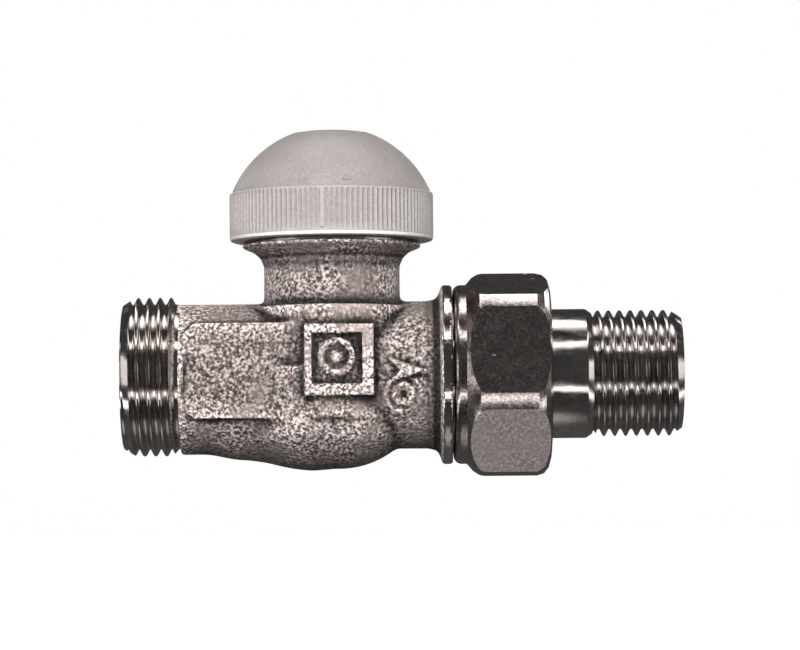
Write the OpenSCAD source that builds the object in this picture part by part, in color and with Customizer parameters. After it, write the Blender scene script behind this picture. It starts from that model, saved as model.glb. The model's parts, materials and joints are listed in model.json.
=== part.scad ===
// Straight thermostatic radiator valve with its protective screw cap and union tailpiece.
// +X runs along the pipe axis from the inlet to the radiator, +Z runs up the neck, -Y is the front.
// The origin is the centre of the inlet end face. The valve is drawn closed, with its cap screwed down.

/* [Pipe line] */
// Length from the inlet face to the free end of the tailpiece
total_length = 92.7; // [92.5:0.1:94]
// Radius of the water way through the body
bore_r = 8; // [7.8:0.05:8.1]
// Outside radius of the cast barrel
barrel_r = 12.4; // [12.3:0.05:12.6]
// Crest radius of the G 3/4 inlet thread
g34_r = 13.22; // [13.1:0.01:13.3]
// Crest radius of the G 3/4 thread under the union nut, small within its tolerance
outlet_thread_r = 13.05; // [13.04:0.01:13.3]
// Pitch of the G 3/4 and R 1/2 threads
pipe_pitch = 1.814; // [1.8:0.001:1.82]
// Depth of the G 3/4 and R 1/2 threads
pipe_depth = 1.162; // [1:0.001:1.2]
// Length of the inlet thread
inlet_thread_l = 9.1; // [9:0.1:9.4]

/* [Neck and belly] */
// Distance of the neck axis from the inlet face
neck_x = 34.7; // [34.5:0.1:34.9]
// Outside radius of the cast neck
neck_r = 11.3; // [11.2:0.05:11.6]
// Radius of the seat housing, the wider round base of the neck
housing_r = 12.9; // [12.8:0.05:13.1]
// Height of the housing's shoulder
housing_z = 11.3; // [11:0.1:11.6]
// Radius of the rim under the cap
rim_r = 14.9; // [14.5:0.1:15.2]
// Height of the rim's top face
rim_z = 21.9; // [21.8:0.05:22]
// Lowest point of the chamber under the seat
belly_z = -15.45; // [-16:0.05:-15.4]
// Crest radius of the M28 x 1.5 thread that takes a thermostatic head
head_r = 14; // [13.98:0.01:14]
// Pitch of that thread
head_pitch = 1.5; // [1.4:0.1:1.5]
// Height of the top of that thread
head_top_z = 29; // [28.9:0.05:29]

/* [Spanner flats and pad] */
// Distance of a spanner flat from the pipe axis
flat_y = 11.5; // [11.2:0.1:11.8]
// Left and right ends of the flats
flat_x = [10.2, 30.1];
// Lower and upper edges of the flats
flat_z = [-7.3, 8.4];
// Left and right ends of the square pad
pad_x = [30.4, 41.5];
// Lower and upper edges of the square pad
pad_z = [-3.4, 8.3];
// Distance of the pad's face from the pipe axis
pad_y = 13.4; // [13.2:0.05:13.6]
// Width of the pad's frame around its recess
pad_frame = 1.3; // [1:0.1:1.6]

/* [Seat and disc] */
// Height of the seat's sealing edge
seat_z = 1.3; // [1.2:0.05:1.4]
// Radius of the opening in the seat
seat_r = 5.5; // [5.2:0.1:5.6]
// Gap left between the sealing disc and the seat
seal_gap = 0.1; // [0.05:0.05:0.1]

/* [Screw cap] */
// Radius over the crests of the grip ring
cap_r = 17; // [16.7:0.1:17.1]
// Number of grip flutes
flute_count = 120; // [96:4:128]
// Height of the cap's lower edge
cap_z = 22.4; // [22.3:0.05:22.5]
// Height of the top of the grip ring
ring_top_z = 30.5; // [30.3:0.1:30.7]
// Height of the top of the dome
cap_top_z = 40.7; // [40.5:0.1:40.8]
// Spherical radius of the dome
dome_r = 17.95; // [17.8:0.05:18.1]

/* [Union] */
// Width across the flats of the union nut
nut_af = 31; // [30:0.1:31]
// Left end of the union nut
nut_x0 = 54.7; // [54.6:0.05:54.9]
// Right end of the union nut
nut_x1 = 70.9; // [70.6:0.1:71]
// Radius of the nut's round collar
nut_collar_r = 14.9; // [14.7:0.1:14.9]
// Outside radius of the tailpiece tube
tail_r = 10.75; // [10.7:0.05:10.8]
// Bore radius of the tailpiece
tail_bore_r = 7.5; // [7.3:0.1:7.6]
// Crest radius of the R 1/2 thread
r12_r = 10.48; // [10.4:0.01:10.5]
// Length of the R 1/2 thread
r12_l = 14.8; // [14.6:0.1:15]

/* [Hidden] */
$fn = 96;

running = 0.05;      // radial clearance of the parts that turn or slide in each other
thread_gap = 0.08;   // radial clearance between a male thread and its nut
eps = 0.01;

// body
body_end_x = 62;
flange_x = [52.4, 54.4];
flange_r = 14.9;
relief_l = 0.9;               // plain relief beside each thread
belly_x = 34;
belly_r = 15;
web_z = [-2.5, 0.5];          // the wall that carries the seat
chamber_r = 8.6;              // chamber above the seat
low_chamber_r = 7;            // chamber below the seat
low_chamber_z = -12.2;
insert_bore_r = 9.1;
insert_floor_z = 13;
pocket_r = 11.2;              // pocket for the insert's hexagon
pocket_z = 20.9;
cone_l = 4.8;                 // internal cone at the outlet, slope 1 in 2
cone_r = 10.4;
inlet_cone_l = 2.4;

// stem stack, heights in the closed position
seal_z = seat_z + seal_gap;
seal_t = 2;
seal_r = 6.9;
holder_z = seal_z + 0.5;
holder_top_z = seal_z + seal_t + 1.6;
holder_r = 7.8;
stem_r = 2;
stem_end_r = 1.5;
stem_end_z = -1.8;
stem_top_z = 21;
washer_t = 0.5;
washer_r = 4.4;
disc_nut_h = 2.2;
disc_nut_af = 5.5;
plate_z = 17.6;
plate_t = 0.8;
plate_r = 4.7;
pin_r = 1.5;
pin_top_z = 33;
clip_z = 21.5;
clip_t = 0.4;
clip_r = 2.6;
clip_root_r = 1.15;

// insert
insert_z = 8.8;
insert_top_z = 27.4;
insert_tube_r = 7.6;
insert_thread_r = 9.05;
insert_hex_af = 18;
bush_r = 3.6;
spring_floor_z = 12;
spring_bore_r = 5.2;
spring_r = 4;
spring_wire_r = 0.4;
spring_coils = 4.5;
gland_r = 5.5;
gland_z = 24.5;
gland_top_z = 30;
gland_hex_af = 13;
pin_seal_z = [25.7, 28.4];
pin_seal_wire_r = 0.6;
gland_seal_wire_r = 0.4;
gland_seal_z = 25.9;

// cap
cap_bore_r = head_r + thread_gap;
cap_bore_top_z = 29.5;
dome_z = ring_top_z - 6.8;    // height of the dome's centre
dome_wall = 2.35;
boss_r = 3.6;
flute_depth = 0.28;

// tailpiece and nut
tail_collar_x = [62.05, 66.8];
tail_collar_r = 12.2;
nose_x = 58.6;
nose_gap = 0.1;
tail_taper_x = [75.9, total_length - r12_l];
tail_seal_x = 60.3;
tail_seal_wire_r = 0.6;
nut_collar_l = 2.4;
nut_turn = -13;              // turn of the hexagon about the pipe axis at rest
nut_edge = 1.1;

// ---- building blocks -------------------------------------------------------------------------

// Lays a shape that was drawn up the Z axis along the pipe axis
module along_pipe(x = 0) {
    translate([x, 0, 0]) rotate([0, 90, 0]) children();
}

// Places a shape on the neck axis
module on_neck(z = 0) {
    translate([neck_x, 0, z]) children();
}

// Solid of revolution about Z through the points [radius, height]
module turned(points) {
    rotate_extrude() polygon(points);
}

module tube(r, bore, h) {
    difference() {
        cylinder(r = r, h = h);
        translate([0, 0, -1]) cylinder(r = bore, h = h + 2);
    }
}

module hexagon(across_flats, h) {
    cylinder(r = across_flats / 2 / cos(30), h = h, $fn = 6);
}

module torus(r, wire_r) {
    rotate_extrude() translate([r, 0]) circle(r = wire_r, $fn = 32);
}

// Outline of a threaded rod: crest lands, 60 degree flanks and root lands, one set per pitch
function thread_profile(r, depth, pitch, count) = [
    for (i = [0 : count - 1], point = [
        [r, i * pitch],
        [r, (i + 0.22) * pitch],
        [r - depth, (i + 0.5) * pitch],
        [r - depth, (i + 0.72) * pitch]
    ]) point
];

// Male thread drawn as rings, standing on Z = 0 and as long as it is told
module male_thread(r, depth, pitch, length) {
    count = floor((length - 0.22 * pitch) / pitch);
    top = count * pitch;
    turned(concat(
        [[0, 0]],
        thread_profile(r, depth, pitch, count),
        [[r, top], [r, min(length, top + 0.22 * pitch)], [r - depth, length], [0, length]]
    ));
}

// Takes the corner off the end of a rod of radius r that ends on Z = 0
module end_chamfer(r, c) {
    turned([[r - c, -eps], [r + 1, -eps], [r + 1, c + 1], [r, c]]);
}

// ---- body ------------------------------------------------------------------------------------

module spanner_flats() {
    corner = 1.9;
    translate([0, flat_y, 0]) rotate([90, 0, 0]) linear_extrude(2 * flat_y) polygon([
        [flat_x[0], flat_z[0] + corner],
        [flat_x[0] + corner, flat_z[0]],
        [flat_x[1], flat_z[0]],
        [flat_x[1], flat_z[1]],
        [flat_x[0] + corner, flat_z[1]],
        [flat_x[0], flat_z[1] - corner]
    ]);
}

module flat_cutters() {
    for (side = [-1, 1])
        translate([flat_x[0], side > 0 ? flat_y : -flat_y - 5, flat_z[0]])
            cube([flat_x[1] - flat_x[0], 5, flat_z[1] - flat_z[0]]);
}

module square_pad() {
    depth = 5;
    translate([pad_x[0], -pad_y, pad_z[0]])
        cube([pad_x[1] - pad_x[0], depth, pad_z[1] - pad_z[0]]);
}

module pad_recess() {
    translate([pad_x[0] + pad_frame, -pad_y - 1, pad_z[0] + pad_frame])
        cube([pad_x[1] - pad_x[0] - 2 * pad_frame, 1.6, pad_z[1] - pad_z[0] - 2 * pad_frame]);
}

// The housing around the seat: a short upright drum with a rounded bottom
module seat_housing() {
    intersection() {
        translate([belly_x, 0, belly_z + belly_r]) sphere(r = belly_r);
        on_neck(-20) cylinder(r = housing_r, h = 20);
    }
    on_neck() turned([
        [0, -6], [housing_r - 1, -6], [housing_r, -5], [housing_r, housing_z - 0.8],
        [housing_r - 0.8, housing_z], [0, housing_z]
    ]);
}

module neck_outside() {
    on_neck() cylinder(r = neck_r, h = 19);
    on_neck() turned([
        [0, 18.7], [neck_r, 18.7], [neck_r + 1, 20], [rim_r, 21.2], [rim_r, rim_z], [0, rim_z]
    ]);
    on_neck(rim_z - eps) cylinder(r = head_r - 1.1, h = relief_l);
    on_neck(rim_z + 0.7) male_thread(head_r, 0.92, head_pitch, head_top_z - rim_z - 0.7);
}

module barrel_outside() {
    along_pipe(0) male_thread(g34_r, pipe_depth, pipe_pitch, inlet_thread_l);
    along_pipe(inlet_thread_l - eps) cylinder(r = g34_r - pipe_depth, h = relief_l);
    along_pipe(9.7) cylinder(r = barrel_r, h = 42);
    along_pipe(0) turned([
        [0, 50.4], [barrel_r, 50.4], [barrel_r + 0.5, 51.6], [flange_r - 0.6, flange_x[0]],
        [flange_r, flange_x[0] + 0.6], [flange_r, flange_x[1]], [0, flange_x[1]]
    ]);
    along_pipe(flange_x[1] - eps) cylinder(r = outlet_thread_r - pipe_depth, h = relief_l);
    along_pipe(flange_x[1] + 0.8)
        male_thread(outlet_thread_r, pipe_depth, pipe_pitch, body_end_x - flange_x[1] - 0.8);
}

// Inlet bore, the duct that dips under the seat, and the round chamber below the seat
module inlet_way() {
    along_pipe(-1) cylinder(r = bore_r, h = 20);
    along_pipe(-eps) cylinder(r1 = bore_r + inlet_cone_l / 2, r2 = bore_r, h = inlet_cone_l);
    intersection() {
        along_pipe(14) cylinder(r = 9.9, h = 20);
        translate([0, 6.5, 0]) rotate([90, 0, 0]) linear_extrude(13) polygon([
            [15, -6], [18.9, 3], [20.5, 1], [26.5, web_z[0] - 0.7],
            [neck_x, web_z[0] - 0.7], [neck_x, -12], [24, -12]
        ]);
    }
    on_neck(low_chamber_z) cylinder(r = low_chamber_r, h = web_z[0] - low_chamber_z);
}

// Chamber above the seat and the bore that leads from it to the outlet cone
module outlet_way() {
    on_neck(web_z[1]) cylinder(r = chamber_r, h = 14);
    intersection() {
        along_pipe(neck_x) cylinder(r = bore_r, h = 12);
        translate([neck_x, -9, web_z[1]]) cube([12, 18, 10]);
    }
    along_pipe(44.9) cylinder(r = bore_r, h = body_end_x - 44);
    along_pipe(body_end_x - cone_l) cylinder(r1 = bore_r, r2 = cone_r, h = cone_l + eps);
}

module valve_body() {
    color("rosybrown") difference() {
        union() {
            difference() {
                union() {
                    barrel_outside();
                    spanner_flats();
                }
                flat_cutters();
            }
            seat_housing();
            neck_outside();
            square_pad();
        }
        pad_recess();
        along_pipe() end_chamfer(g34_r, 1.2);
        translate([body_end_x, 0, 0]) mirror([1, 0, 0]) along_pipe() end_chamfer(outlet_thread_r, 1.2);
        on_neck(head_top_z) mirror([0, 0, 1]) end_chamfer(head_r, 1);
        inlet_way();
        difference() {
            outlet_way();
            on_neck(0) tube(seat_r + 1.5, seat_r, seat_z);
        }
        on_neck(web_z[0] - 1) cylinder(r = seat_r, h = 5);
        on_neck(insert_floor_z) cylinder(r = insert_bore_r, h = 10);
        on_neck(pocket_z) cylinder(r = pocket_r, h = 10);
    }
}

// ---- insert ----------------------------------------------------------------------------------

module insert_housing() {
    color("goldenrod") difference() {
        union() {
            on_neck(insert_z) cylinder(r = insert_tube_r, h = 5);
            on_neck(insert_floor_z + 0.2)
                male_thread(insert_thread_r, 0.6, 1, pocket_z - insert_floor_z - 0.2);
            on_neck(pocket_z) intersection() {
                hexagon(insert_hex_af, insert_top_z - pocket_z);
                turned([
                    [0, 0], [10.4, 0], [10.4, 5.9], [insert_hex_af / 2, 6.5], [0, 6.5]
                ]);
            }
        }
        on_neck(insert_z - 1) cylinder(r = bush_r + 0.02, h = 5);
        on_neck(spring_floor_z) cylinder(r = spring_bore_r, h = 15);
        on_neck(gland_z - 0.1) cylinder(r = gland_r + running, h = 5);
    }
}

module insert_o_ring() {
    color("dimgray") on_neck(insert_floor_z - 0.4) torus((insert_tube_r + chamber_r) / 2, 0.45);
}

module guide_bush() {
    color("ivory") on_neck(insert_z) tube(bush_r, stem_r + running, spring_floor_z - insert_z);
}

module gland_nut() {
    thread_h = insert_top_z - gland_z;
    color("khaki") difference() {
        union() {
            on_neck(gland_z) cylinder(r = gland_r, h = thread_h);
            on_neck(insert_top_z) intersection() {
                hexagon(gland_hex_af, gland_top_z - insert_top_z);
                turned([[0, 0], [7.6, 0], [7.6, 2], [gland_hex_af / 2, 2.6], [0, 2.6]]);
            }
        }
        on_neck(gland_z - 1) cylinder(r = pin_r + running, h = 8);
        for (z = pin_seal_z)
            on_neck(z - 0.7) cylinder(r = pin_r + 2 * pin_seal_wire_r + running, h = 1.4);
        on_neck(gland_seal_z - 0.45) tube(gland_r + 1, gland_r - 2 * gland_seal_wire_r - 0.05, 0.9);
    }
}

module gland_o_ring() {
    color("dimgray") on_neck(gland_seal_z) torus(gland_r - gland_seal_wire_r, gland_seal_wire_r);
}

module pin_o_rings() {
    color("dimgray") for (z = pin_seal_z)
        on_neck(z) torus(pin_r + pin_seal_wire_r + 0.03, pin_seal_wire_r);
}

// Point of the spring's centre line, a fraction t of the way up
function coil_point(t, low, high) = [
    spring_r * cos(360 * spring_coils * t),
    spring_r * sin(360 * spring_coils * t),
    low + (high - low) * t
];

module return_spring() {
    sides = 8;
    rings = 16 * spring_coils;
    low = spring_floor_z + spring_wire_r + 0.05;
    high = plate_z - spring_wire_r - 0.05;
    points = [
        for (i = [0 : rings], k = [0 : sides - 1])
            let (
                t = i / rings,
                turn = 360 * spring_coils * t,
                side = 360 * k / sides,
                centre = coil_point(t, low, high),
                out = spring_wire_r * cos(side)
            )
            centre + [out * cos(turn), out * sin(turn), spring_wire_r * sin(side)]
    ];
    skin = [
        for (i = [0 : rings - 1], k = [0 : sides - 1])
            [
                i * sides + k, i * sides + (k + 1) % sides,
                (i + 1) * sides + (k + 1) % sides, (i + 1) * sides + k
            ]
    ];
    foot = [for (k = [0 : sides - 1]) sides - 1 - k];
    head = [for (k = [0 : sides - 1]) rings * sides + k];
    color("silver") on_neck() polyhedron(points, concat([foot], skin, [head]));
}

// ---- moving stem -----------------------------------------------------------------------------

module pressure_pin() {
    color("lightsteelblue") difference() {
        on_neck(stem_top_z) cylinder(r = pin_r, h = pin_top_z - stem_top_z);
        on_neck(clip_z) tube(pin_r + 1, clip_root_r, clip_t);
        on_neck(pin_top_z) mirror([0, 0, 1]) end_chamfer(pin_r, 0.3);
    }
}

module pin_clip() {
    color("gray") difference() {
        on_neck(clip_z + 0.02) tube(clip_r, clip_root_r + 0.02, clip_t - 0.04);
        on_neck(clip_z - 1) translate([0, -0.9, 0]) cube([4, 1.8, 3]);
    }
}

module valve_stem() {
    color("lightsteelblue") on_neck() turned([
        [0, stem_end_z], [stem_end_r - 0.3, stem_end_z], [stem_end_r, stem_end_z + 0.3],
        [stem_end_r, holder_top_z], [3, holder_top_z], [3, holder_top_z + 1],
        [stem_r, holder_top_z + 1], [stem_r, plate_z + plate_t], [2.8, plate_z + plate_t],
        [2.8, plate_z + plate_t + 1], [stem_r, plate_z + plate_t + 1], [stem_r, stem_top_z],
        [0, stem_top_z]
    ]);
}

module spring_plate() {
    color("gray") on_neck(plate_z) tube(plate_r, stem_r + running, plate_t);
}

module disc_holder() {
    color("goldenrod") on_neck() turned([
        [stem_end_r + running, seal_z + seal_t], [seal_r + running, seal_z + seal_t],
        [seal_r + running, holder_z], [holder_r, holder_z], [holder_r, holder_top_z - 0.4],
        [holder_r - 0.4, holder_top_z], [stem_end_r + running, holder_top_z]
    ]);
}

module disc_seal() {
    color("dimgray") on_neck(seal_z) tube(seal_r, stem_end_r + running, seal_t);
}

module disc_washer() {
    color("silver") on_neck(seal_z - washer_t) tube(washer_r, stem_end_r + running, washer_t);
}

module disc_nut() {
    color("goldenrod") on_neck(seal_z - washer_t - disc_nut_h) difference() {
        hexagon(disc_nut_af, disc_nut_h);
        translate([0, 0, -1]) cylinder(r = stem_end_r + running, h = disc_nut_h + 2);
    }
}

// ---- cap -------------------------------------------------------------------------------------

module grip_ring(h) {
    linear_extrude(h) polygon([
        for (i = [0 : 2 * flute_count - 1])
            let (r = i % 2 == 0 ? cap_r : cap_r - flute_depth, a = 180 * i / flute_count)
            [r * cos(a), r * sin(a)]
    ]);
}

module dome(r) {
    intersection() {
        translate([0, 0, dome_z]) sphere(r = r);
        translate([0, 0, ring_top_z - 2]) cylinder(r = r + 1, h = cap_top_z - ring_top_z + 2);
    }
}

module screw_cap() {
    color("gainsboro") difference() {
        union() {
            on_neck(cap_z) grip_ring(ring_top_z - cap_z);
            on_neck() intersection() {
                dome(dome_r);
                cylinder(r = cap_r - 0.35, h = 60);
            }
        }
        on_neck(cap_z - 1) cylinder(r = cap_bore_r, h = cap_bore_top_z - cap_z + 1);
        on_neck() difference() {
            intersection() {
                translate([0, 0, dome_z]) sphere(r = dome_r - dome_wall);
                translate([0, 0, cap_bore_top_z - 1]) cylinder(r = cap_bore_r - 1, h = 20);
            }
            translate([0, 0, pin_top_z + running]) cylinder(r = boss_r, h = 10);
        }
    }
}

// ---- union -----------------------------------------------------------------------------------

module tailpiece() {
    nose_r = bore_r + (nose_x - body_end_x + cone_l) / 2 - nose_gap;
    nose_base_r = bore_r + (tail_collar_x[0] - body_end_x + cone_l) / 2 - nose_gap;
    root_r = r12_r - pipe_depth;
    color("silver") difference() {
        union() {
            along_pipe() turned([
                [0, nose_x], [nose_r, nose_x], [nose_base_r, tail_collar_x[0]],
                [tail_collar_r - 0.3, tail_collar_x[0]], [tail_collar_r, tail_collar_x[0] + 0.3],
                [tail_collar_r, tail_collar_x[1]], [tail_r, tail_collar_x[1]],
                [tail_r, tail_taper_x[0]], [root_r, tail_taper_x[1]], [0, tail_taper_x[1]]
            ]);
            along_pipe(tail_taper_x[1] - eps) male_thread(r12_r, pipe_depth, pipe_pitch, r12_l + eps);
        }
        along_pipe(nose_x - 1) cylinder(r = tail_bore_r, h = total_length);
        along_pipe(tail_seal_x - 0.7) tube(r12_r + 1, 8.2, 1.4);
        translate([total_length, 0, 0]) mirror([1, 0, 0]) along_pipe() end_chamfer(r12_r, 1.2);
    }
}

module tailpiece_o_ring() {
    color("dimgray") along_pipe(tail_seal_x) torus(8.85, tail_seal_wire_r);
}

module union_nut() {
    corner_r = nut_af / 2 / cos(30) + 0.2;
    l = nut_x1 - nut_x0;
    color("slategray") along_pipe(nut_x0) difference() {
        intersection() {
            rotate([0, 0, nut_turn]) hexagon(nut_af, l);
            turned([
                [0, 0], [nut_collar_r - nut_edge, 0], [nut_collar_r - 0.3, 0.4],
                [nut_collar_r, nut_edge], [nut_collar_r, nut_collar_l],
                [corner_r, nut_collar_l + 1.4], [corner_r, l - 1.6],
                [nut_af / 2 - 0.2, l], [0, l]
            ]);
        }
        translate([0, 0, -1])
            cylinder(r = outlet_thread_r + thread_gap, h = tail_collar_x[1] + running - nut_x0 + 1);
        translate([0, 0, 1]) cylinder(r = tail_r + 0.1, h = l);
        translate([0, 0, -eps]) cylinder(r1 = outlet_thread_r + 0.9, r2 = outlet_thread_r, h = 0.9);
    }
}

valve_body();
insert_housing();
insert_o_ring();
guide_bush();
gland_nut();
gland_o_ring();
pin_o_rings();
return_spring();
pressure_pin();
pin_clip();
valve_stem();
spring_plate();
disc_holder();
disc_seal();
disc_washer();
disc_nut();
screw_cap();
tailpiece();
tailpiece_o_ring();
union_nut();
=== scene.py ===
"""The looks of a straight thermostatic radiator valve: cast body, screw cap, union nut and tailpiece.

Lengths are millimetres in the part's own frame: +X along the pipe axis, +Z up the neck, -Y to the
front. Meshes are stored in metres.
"""
import json
import math

import bmesh
import bpy
import numpy as np
from mathutils import Matrix, Vector


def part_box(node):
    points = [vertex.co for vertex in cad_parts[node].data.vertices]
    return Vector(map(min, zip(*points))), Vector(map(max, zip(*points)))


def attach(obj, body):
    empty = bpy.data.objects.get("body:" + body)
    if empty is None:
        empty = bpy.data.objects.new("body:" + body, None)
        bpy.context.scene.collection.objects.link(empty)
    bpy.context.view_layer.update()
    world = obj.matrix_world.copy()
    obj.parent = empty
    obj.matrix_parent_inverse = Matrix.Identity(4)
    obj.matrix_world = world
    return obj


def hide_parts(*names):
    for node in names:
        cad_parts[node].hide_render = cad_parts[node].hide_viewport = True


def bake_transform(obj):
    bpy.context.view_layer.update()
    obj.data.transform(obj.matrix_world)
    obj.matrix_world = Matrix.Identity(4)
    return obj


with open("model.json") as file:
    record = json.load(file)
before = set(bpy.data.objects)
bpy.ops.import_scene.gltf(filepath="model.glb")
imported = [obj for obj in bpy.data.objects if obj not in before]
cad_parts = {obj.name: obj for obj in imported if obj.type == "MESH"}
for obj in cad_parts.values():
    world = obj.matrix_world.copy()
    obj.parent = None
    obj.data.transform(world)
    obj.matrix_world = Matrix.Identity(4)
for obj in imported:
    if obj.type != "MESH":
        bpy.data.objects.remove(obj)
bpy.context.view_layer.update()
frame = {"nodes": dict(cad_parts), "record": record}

MM = 0.001


def box_mm(node):
    low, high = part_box(node)
    return low / MM, high / MM


# ---- places and sizes taken from the frame ----------------------------------------------------

CAP_LOW, CAP_HIGH = box_mm("screw_cap")
NUT_LOW, NUT_HIGH = box_mm("union_nut")
TAIL_LOW, TAIL_HIGH = box_mm("tailpiece")
BODY_LOW, BODY_HIGH = box_mm("valve_body")
SPRING_LOW, SPRING_HIGH = box_mm("return_spring")

NECK_X = (CAP_LOW.x + CAP_HIGH.x) / 2
CAP_R = (CAP_HIGH.y - CAP_LOW.y) / 2
FLANGE_END = NUT_LOW.x - 0.12         # right face of the body's flange
FLANGE_START = FLANGE_END - 1.9
FLANGE_R = 14.9                       # also the rim under the cap and the nut's collar
RIM_Z = CAP_LOW.z - 0.5               # top of the rim under the cap

FLAT_Y = 11.5                         # spanner flats, from the pipe axis
FLAT_X, FLAT_Z = (10.2, 30.3), (-7.3, 8.4)

PIPE_PITCH, PIPE_DEPTH = 1.814, 1.162
HEAD_PITCH, HEAD_DEPTH = 1.5, 0.92
# crest radii of the inlet's G 3/4, the outlet, the tailpiece's R 1/2 and the neck
G34_R, OUTLET_R, R12_R, HEAD_R = 13.22, 13.05, 10.48, 14.0
THREAD_GAP = 0.08                     # between the threads that screw together
G34_END, R12_START = 9.1, 77.9
HEAD_THREAD_LOW, HEAD_THREAD_HIGH = 22.7, 29.0
BORE_R, TAIL_BORE_R, TAIL_R = 8.0, 7.5, 10.75
NECK_BORE_R = 11.2
COLLAR_R = 12.2                       # the tailpiece's collar inside the nut
COLLAR_START, COLLAR_END = 62.05, 66.8
NOSE_X = TAIL_LOW.x                   # sealing cone of the tailpiece, slope 1 in 2
CONE_START = BODY_HIGH.x - 4.8


# ---- mesh building ----------------------------------------------------------------------------

def mesh_piece(name, verts_mm, faces):
    mesh = bpy.data.meshes.new(name)
    mesh.from_pydata([tuple(v) for v in np.asarray(verts_mm, float) * MM], [], faces)
    mesh.validate()
    mesh.update()
    piece = bpy.data.objects.new(name, mesh)
    bpy.context.scene.collection.objects.link(piece)
    return piece


def axis_points(radial, along, angle, axis):
    """Points at a radius and an angle round the pipe axis ("x") or the neck axis ("z")."""
    a, b = radial * np.cos(angle), radial * np.sin(angle)
    along = np.broadcast_to(along, a.shape)
    if axis == "x":
        return np.stack([along, a, b], -1)
    return np.stack([NECK_X + a, b, along], -1)


def lathe(name, profile, axis="x", segments=96):
    """Solid of revolution from a profile of (along, radius) points that starts and ends on the axis."""
    profile = np.array(profile, float)
    inner = profile[1:-1]
    count = len(inner)
    angle = np.linspace(0, 2 * math.pi, segments, endpoint=False)
    rings = axis_points(inner[:, 1][:, None], inner[:, 0][:, None], angle[None, :], axis)
    ends = axis_points(np.zeros((2, 1)), profile[[0, -1], 0][:, None], np.zeros((1, 1)), axis)
    verts = np.concatenate([rings.reshape(-1, 3), ends.reshape(-1, 3)])
    first, last = count * segments, count * segments + 1
    faces = []
    for j in range(segments):
        k = (j + 1) % segments
        faces.append((first, k, j))
        faces.append((last, (count - 1) * segments + j, (count - 1) * segments + k))
        for i in range(count - 1):
            faces.append((i * segments + j, i * segments + k, (i + 1) * segments + k, (i + 1) * segments + j))
    return outward(mesh_piece(name, verts, faces))


def outward(piece):
    """Turns the faces of a closed mesh to the outside."""
    mesh = piece.data
    co = np.empty(len(mesh.vertices) * 3)
    mesh.vertices.foreach_get("co", co)
    co = co.reshape(-1, 3)
    mesh.calc_loop_triangles()
    tri = np.empty(len(mesh.loop_triangles) * 3, int)
    mesh.loop_triangles.foreach_get("vertices", tri)
    a, b, c = co[tri.reshape(-1, 3)].transpose(1, 0, 2)
    if np.einsum("ij,ij->", a, np.cross(b, c)) < 0:
        mesh.flip_normals()
    return piece


def thread_rod(name, r, depth, pitch, low, high, axis="x", grow=0.0, segments=96, phase=0.0):
    """Right-hand screw thread between two places, its grid running along the helix so that edges stay sharp.

    The rod runs on past both places, and is cut there by an envelope. grow widens every tooth."""
    wide = grow / pitch
    half_tooth = [0, 0.07, 0.13, 0.18, 0.35, 0.40, 0.45]
    half_height = [1, 0.975, 0.87, 0.72, 0.20, 0.075, 0.01]
    steps = np.array(half_tooth + [1 - step for step in half_tooth[:0:-1]])
    height = np.array(half_height + half_height[:0:-1])
    steps = steps + wide * np.where(steps < 0.5, 1, -1) * (steps > 0)
    per_turn = len(steps)
    turns = int(math.ceil((high - low) / pitch)) + 2
    rows = np.arange(turns * per_turn)
    offset = (rows // per_turn + steps[rows % per_turn]) * pitch
    radius = r + grow - depth * (1 - height[rows % per_turn])
    angle = np.linspace(0, 2 * math.pi, segments, endpoint=False)
    along = low - pitch + phase * pitch + offset[:, None] + pitch * (angle / (2 * math.pi))[None, :]
    grid = axis_points(radius[:, None], along, angle[None, :], axis)
    beyond = np.array([[low - 3 * pitch], [high + 3 * pitch]])
    ends = axis_points(np.zeros((2, 1)), beyond, np.zeros((1, 1)), axis)
    verts = np.concatenate([grid.reshape(-1, 3), ends.reshape(-1, 3)])

    def at(row, column):
        if column == segments:
            row, column = row + per_turn, 0
        return row * segments + column

    last_row = len(rows) - 1 - per_turn
    faces = [
        (at(i, j), at(i, j + 1), at(i + 1, j + 1), at(i + 1, j))
        for i in range(last_row) for j in range(segments)
    ]
    for centre, row in ((len(rows) * segments, 0), (len(rows) * segments + 1, last_row)):
        loop = [at(row, j) for j in range(segments + 1)]
        loop += [at(row + k, 0) for k in range(per_turn - 1, 0, -1)]
        ring = zip(loop, loop[1:] + loop[:1])
        faces += [(centre, b, a) if row == 0 else (centre, a, b) for a, b in ring]
    piece = mesh_piece(name, verts, faces)
    drop_loose(piece)
    return outward(piece)


def drop_loose(piece):
    """Removes vertices that no face uses."""
    bm = bmesh.new()
    bm.from_mesh(piece.data)
    bmesh.ops.delete(bm, geom=[v for v in bm.verts if not v.link_faces], context="VERTS")
    bm.to_mesh(piece.data)
    bm.free()


def combine(piece, operation, tools):
    """Applies booleans one after another and removes the tool meshes."""
    for tool in tools:
        modifier = piece.modifiers.new("combine", "BOOLEAN")
        modifier.operation = operation
        modifier.solver = "MANIFOLD"
        modifier.object = tool
        apply_modifiers(piece)
        bpy.data.objects.remove(tool)
    return piece


def apply_modifiers(piece):
    graph = bpy.context.evaluated_depsgraph_get()
    graph.update()
    mesh = bpy.data.meshes.new_from_object(piece.evaluated_get(graph))
    piece.modifiers.clear()
    old = piece.data
    piece.data = mesh
    mesh.name = piece.name
    bpy.data.meshes.remove(old)


def block(name, low, high):
    (x0, y0, z0), (x1, y1, z1) = low, high
    verts = [(x, y, z) for x in (x0, x1) for y in (y0, y1) for z in (z0, z1)]
    faces = [(0, 1, 3, 2), (4, 6, 7, 5), (0, 4, 5, 1), (2, 3, 7, 6), (0, 2, 6, 4), (1, 5, 7, 3)]
    return outward(mesh_piece(name, verts, faces))


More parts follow.
